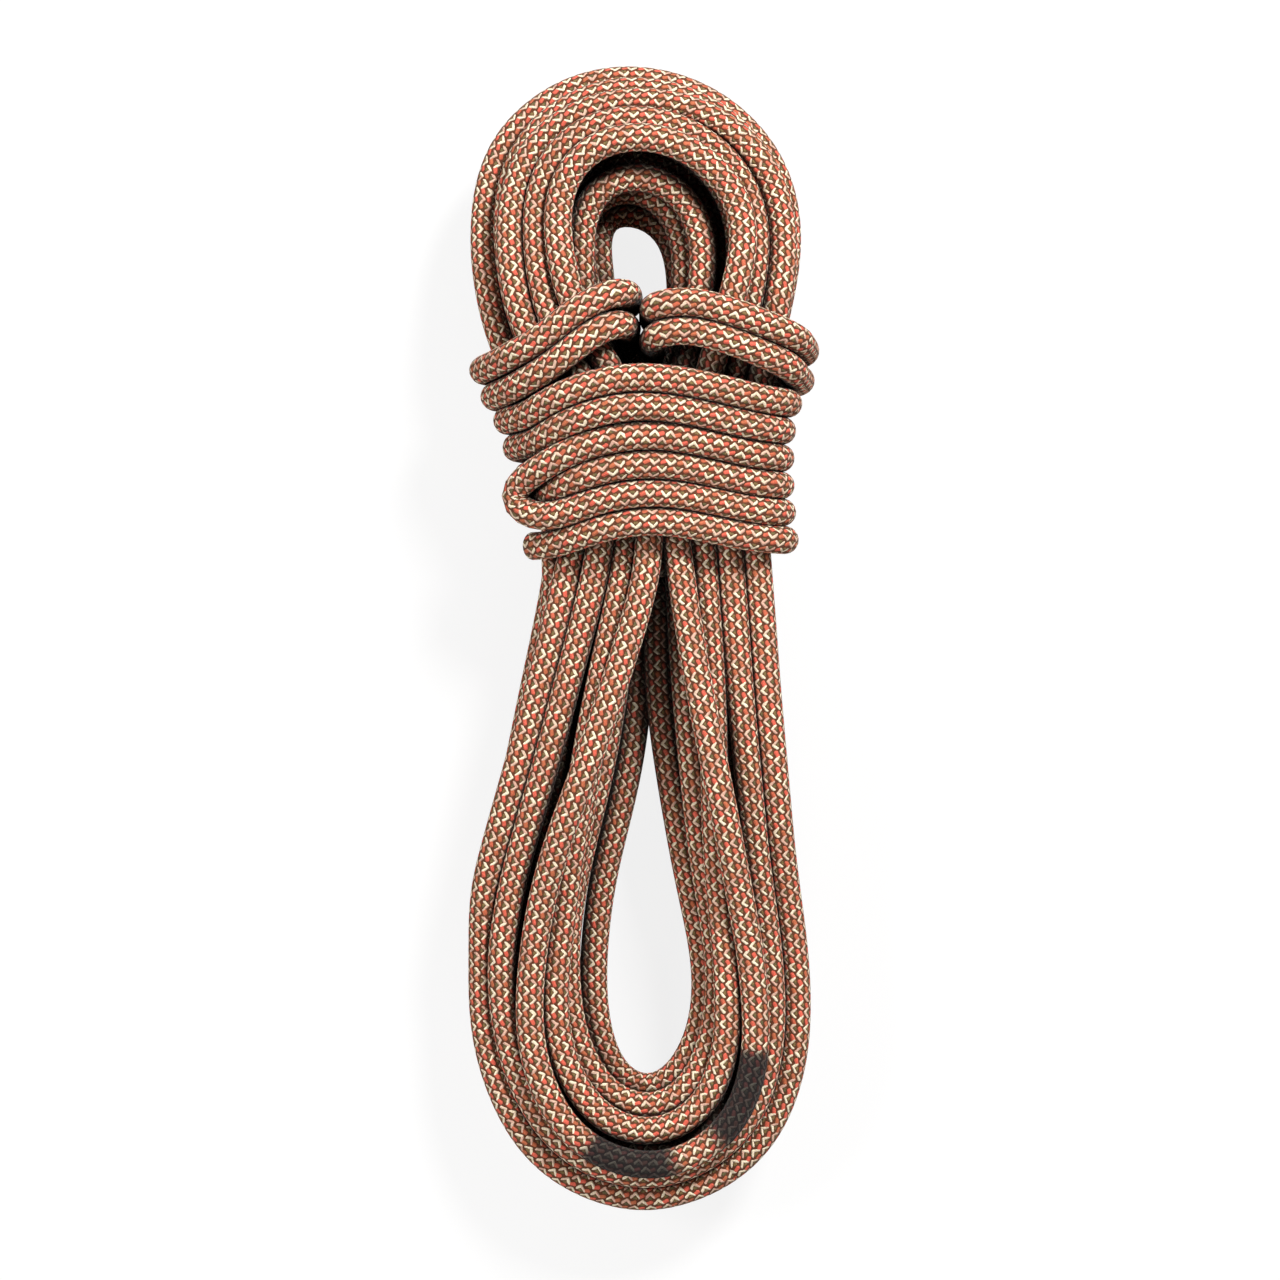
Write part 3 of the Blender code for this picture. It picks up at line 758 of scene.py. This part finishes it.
def addCord(name, line, node, dyed=(), start=0.0, way=1):
    line, length = evenly(line, look["step"])
    piece = ropeMesh(name, line, look["radius"], dyed, start, way)
    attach(piece, "root")
    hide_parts(node)


hankEven, hankLength = evenly(smoothLine(hankLine, look["perRun"]), look["step"])
hankStep = hankLength / (len(hankEven) - 1)
print("hank length", round(hankLength))

# the two dyed marks: the middle of each as seen from above and half its length. They lie on
# the uppermost strand within markReach
marks = (((-9.0, -187.5), 17.0), ((35.5, -167.5), 17.5))
markReach = 6.0


def markPlaces(line, step):
    places = []
    for (x, y), half in marks:
        spots = np.where(np.hypot(line[:, 0] - x, line[:, 1] - y) < markReach)[0]
        places.append((spots[line[spots, 2].argmax()] * step, half))
    return places


dyedPlaces = markPlaces(hankEven, hankStep)
pieces = 4
cuts = np.linspace(0, len(hankEven) - 1, pieces + 1).astype(int)
for k in range(pieces):
    part = hankEven[cuts[k] : cuts[k + 1] + 1]
    start = cuts[k] * hankStep
    addCord(f"hankLayer{k + 1}", part, "hank_loops", dyedPlaces, start)
print("stage: hank")

routes = dict(
    turnsA=(turnsRouteA(), "waist_turns_a", -1), turnsB=(turnsRouteB(), "waist_turns_b", 1),
    bightA=(bightRoute(0), "locking_bight_a", -1), bightB=(bightRoute(1), "locking_bight_b", 1),
    tailA=(tailRoute(tailA), "tail_a", 1), tailB=(tailRoute(tailB), "tail_b", -1),
)
loose = dict(step=2.5, rounds=12, every=2)  # the other lines before they settle
drafts = [
    smoothed(evenly(np.array(line), loose["step"])[0], loose["rounds"])[:: loose["every"]]
    for line, _, _ in routes.values()
]
drawn = dict(zip(routes, zip(drafts, settled(drafts, [hankLine]))))
# points held in place: in the eye, how far in and over how many they are let go, and over
# how many at the far end
held = dict(eye=5, over=4, turns=0, bight=1, tail=12)


def pinned(name):
    # the settled line, brought back to where it was in the eye and at the rope's end
    before, after = drawn[name]
    ended = held[name[:-1]]
    fromStart = np.arange(len(after))
    share = np.clip((held["eye"] - fromStart) / held["over"], 0, 1)
    if ended:
        fromEnd = (ended + held["over"] - fromStart[::-1]) / ended
        share = np.maximum(share, np.clip(fromEnd, 0, 1))
    return smoothLine(after + (before - after) * share[:, None], look["perRun"])


for name in ("turnsA", "turnsB", "bightA", "bightB"):
    _, node, way = routes[name]
    addCord(name, pinned(name), node, way=way)
print("stage: turns, bight")


# the rope's two ends: core, tape, fused tip, band and clear sleeve are the solids
def speckGroup():
    # fibres drawn out along one axis, as a lightness and a height
    tree, given, result = newGroup(
        "fibreSpeck",
        (("Place", "NodeSocketVector", None), ("Scale", "NodeSocketFloat", 900.0),
         ("Darkest", "NodeSocketFloat", 0.8)),
        (("Lightness", "NodeSocketFloat"), ("Height", "NodeSocketFloat")),
    )
    noise = tree.nodes.new("ShaderNodeTexNoise")
    noise.inputs["Detail"].default_value = 4.0
    tree.links.new(given.outputs["Place"], noise.inputs["Vector"])
    tree.links.new(given.outputs["Scale"], noise.inputs["Scale"])
    spread = ramp(tree, noise.outputs["Fac"], 0.3, 0.7)
    span = mathNode(tree, "SUBTRACT", 1.0, given.outputs["Darkest"])
    lightness = mathNode(tree, "MULTIPLY_ADD", spread, span, given.outputs["Darkest"])
    tree.links.new(lightness, result.inputs["Lightness"])
    tree.links.new(noise.outputs["Fac"], result.inputs["Height"])
    return tree


speck = speckGroup()


def endMaterial(name, colour, roughness, fibres, darkest, bumpDepth, extra=()):
    # fibres: how the pattern is squeezed along x, y and z
    material, tree, shader = newMaterial(name)
    spot = tree.nodes.new("ShaderNodeTexCoord")
    squeeze = tree.nodes.new("ShaderNodeVectorMath")
    squeeze.operation = "MULTIPLY"
    squeeze.inputs[1].default_value = fibres
    tree.links.new(spot.outputs["Object"], squeeze.inputs[0])
    grain = tree.nodes.new("ShaderNodeGroup")
    grain.node_tree = speck
    grain.inputs["Darkest"].default_value = darkest
    tree.links.new(squeeze.outputs[0], grain.inputs["Place"])
    shade = scaled(tree, colour, grain.outputs["Lightness"])
    tree.links.new(shade, shader.inputs["Base Color"])
    addBump(tree, grain.outputs["Height"], 0.6, bumpDepth)
    shader.inputs["Roughness"].default_value = roughness
    for label, value in extra:
        shader.inputs[label].default_value = value
    return material


sheathEnd = dict(start=0.3, end=30.0, rings=10, outside=9.4, wall=0.8)


def addEnd(letter, line, way):
    base, along = line[-1], (line[-1] - line[-2]) * (1, 1, 0)
    along /= np.linalg.norm(along)
    places = np.linspace(sheathEnd["start"], sheathEnd["end"], sheathEnd["rings"])
    route = base + along * places[:, None]
    length = np.linalg.norm(np.diff(line, axis=0), axis=1).sum()
    sheath = ropeMesh(
        f"endSheath{letter.upper()}", route, sheathEnd["outside"] / 2, start=length, way=way,
        closed=False,
    )
    wall = sheath.modifiers.new("wall", "SOLIDIFY")
    wall.thickness, wall.offset = sheathEnd["wall"] * mm, -1
    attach(sheath, "root")
    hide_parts(f"end_sheath_{letter}")
    drawnOut = tuple(1.0 - 0.9 * np.abs(along).round())
    # name, colour, roughness, fibres, darkest, bump depth and the rest
    looks = dict(
        core_strands=(f"coreYarn{letter}", (0.86, 0.85, 0.82), 0.8, drawnOut, 0.62, 0.0003),
        tracer_tape=(f"tracerTape{letter}", (0.20, 0.32, 0.55), 0.4, (1, 1, 1), 0.9, 0.00002),
        fused_tip=(f"fusedNylon{letter}", (0.16, 0.10, 0.08), 0.35, (0.4, 0.4, 0.4), 0.5, 0.0004),
        end_band=(f"plainBand{letter}", (0.82, 0.82, 0.80), 0.5, (1, 1, 1), 0.95, 0.00002),
        shrink_sleeve=(
            f"clearShrink{letter}", (0.90, 0.92, 0.93), 0.12, (0.3, 0.3, 0.3), 0.97, 0.0001,
            (("Alpha", 0.3), ("Coat Weight", 0.5)),
        ),
    )
    for kind, values in looks.items():
        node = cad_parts[f"{kind}_{letter}"]
        node.data.materials.clear()
        node.data.materials.append(endMaterial(*values))
    return [sheath, *(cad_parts[f"{kind}_{letter}"] for kind in looks)]


for letter in "ab":
    name = f"tail{letter.upper()}"
    route, node, way = routes[name]
    line = np.array([*pinned(name)[:-1], route[-1]])
    endPieces = addEnd(letter, line, way)
    addCord(name, line, node, way=way)
print("stage: tails and ends")

# how open each spot of the sheath lies, for the painted shade that darkens the colour between
# strands and deep in the hank. rays are sent out to reach, from off above the surface, in
# millimetres
hollows = dict(rays=16, reach=48.0, off=0.15)


def markOpennessForPaintedShade():
    sheaths = [o for o in bpy.data.objects if o.type == "MESH" and "dyed" in o.data.attributes]
    corners, faces = [], []
    for piece in sheaths:
        first = len(corners)
        corners.extend(vertex.co.copy() for vertex in piece.data.vertices)
        faces.extend(tuple(first + k for k in face.vertices) for face in piece.data.polygons)
    tree = BVHTree.FromPolygons(corners, faces)
    golden = math.pi * (3 - math.sqrt(5))
    cone = []
    for k in range(hollows["rays"]):
        rise = math.sqrt((k + 0.5) / hollows["rays"])
        flat = math.sqrt(1 - rise * rise)
        cone.append(Vector((flat * math.cos(golden * k), flat * math.sin(golden * k), rise)))
    reach, off = hollows["reach"] * mm, hollows["off"] * mm
    for piece in sheaths:
        openness = []
        for vertex in piece.data.vertices:
            turned = vertex.normal.to_track_quat("Z", "Y").to_matrix()
            begin = vertex.co + vertex.normal * off
            free = sum(tree.ray_cast(begin, turned @ ray, reach)[0] is None for ray in cone)
            openness.append(free / hollows["rays"])
        attribute = piece.data.attributes.new("openness", "FLOAT", "POINT")
        attribute.data.foreach_set("value", openness)


markOpennessForPaintedShade()
print("stage: hollows")


# a pale floor: its colour as seen, the darker one that it throws back, and how much shows
# of the shadow on it
ground = dict(
    size=3.0, seen=(0.93, 0.92, 0.91), bounce=(0.14, 0.13, 0.12), roughness=0.9, shadowKept=0.16,
)


def addFloor():
    form = bmesh.new()
    bmesh.ops.create_grid(form, x_segments=1, y_segments=1, size=ground["size"])
    mesh = bpy.data.meshes.new("floor")
    form.to_mesh(mesh)
    form.free()
    material, tree, shader = newMaterial("paleFloor")
    shader.inputs["Roughness"].default_value = ground["roughness"]
    output = next(node for node in tree.nodes if node.type == "OUTPUT_MATERIAL")
    white = tree.nodes.new("ShaderNodeEmission")
    white.inputs["Strength"].default_value = 1.0
    rays = tree.nodes.new("ShaderNodeLightPath").outputs
    seen = mathNode(tree, "MAXIMUM", rays["Is Camera Ray"], rays["Is Transmission Ray"])
    floorColour = mixColour(tree, seen, ground["bounce"], ground["seen"])
    tree.links.new(floorColour, shader.inputs["Base Color"])
    share = mathNode(tree, "MULTIPLY", seen, 1.0 - ground["shadowKept"])
    blend = tree.nodes.new("ShaderNodeMixShader")
    tree.links.new(share, blend.inputs[0])
    tree.links.new(shader.outputs[0], blend.inputs[1])
    tree.links.new(white.outputs[0], blend.inputs[2])
    tree.links.new(blend.outputs[0], output.inputs["Surface"])
    mesh.materials.append(material)
    floor = bpy.data.objects.new("floor", mesh)
    bpy.context.scene.collection.objects.link(floor)


# each lamp's place, size in metres and power in watts. All look at the origin
lamps = dict(
    keyLamp=((0.6, 0.95, 1.1), 0.4, 28.0),
    fillLamp=((-1.2, 0.2, 1.1), 0.6, 12.0),
    footLamp=((0.2, -1.3, 0.9), 0.8, 5.0),
)
# light from low down and little from overhead, so that what lies deep stays dark. level is
# the height of a ray's direction over which the one passes into the other
sky = dict(low=0.58, overhead=0.03, level=(0.35, 0.95))


def addLamp(name, place, size, power):
    data = bpy.data.lights.new(name, "AREA")
    data.shape = "DISK"
    data.size = size
    data.energy = power
    lamp = bpy.data.objects.new(name, data)
    lamp.location = place
    lamp.rotation_euler = (-Vector(place)).to_track_quat("-Z", "Y").to_euler()
    bpy.context.scene.collection.objects.link(lamp)


def addSky():
    world = bpy.data.worlds.new("studio")
    world.use_nodes = True
    tree = world.node_tree
    facing = tree.nodes.new("ShaderNodeTexCoord")
    axes = tree.nodes.new("ShaderNodeSeparateXYZ")
    tree.links.new(facing.outputs["Generated"], axes.inputs[0])
    glow = ramp(tree, axes.outputs["Z"], *sky["level"], sky["low"], sky["overhead"])
    background = tree.nodes["Background"]
    background.inputs[0].default_value = (1, 1, 1, 1)
    tree.links.new(glow, background.inputs[1])
    bpy.context.scene.world = world


addFloor()
for name, values in lamps.items():
    addLamp(name, *values)
addSky()
bpy.context.scene.view_settings.view_transform = "Standard"
print("stage: floor and light")
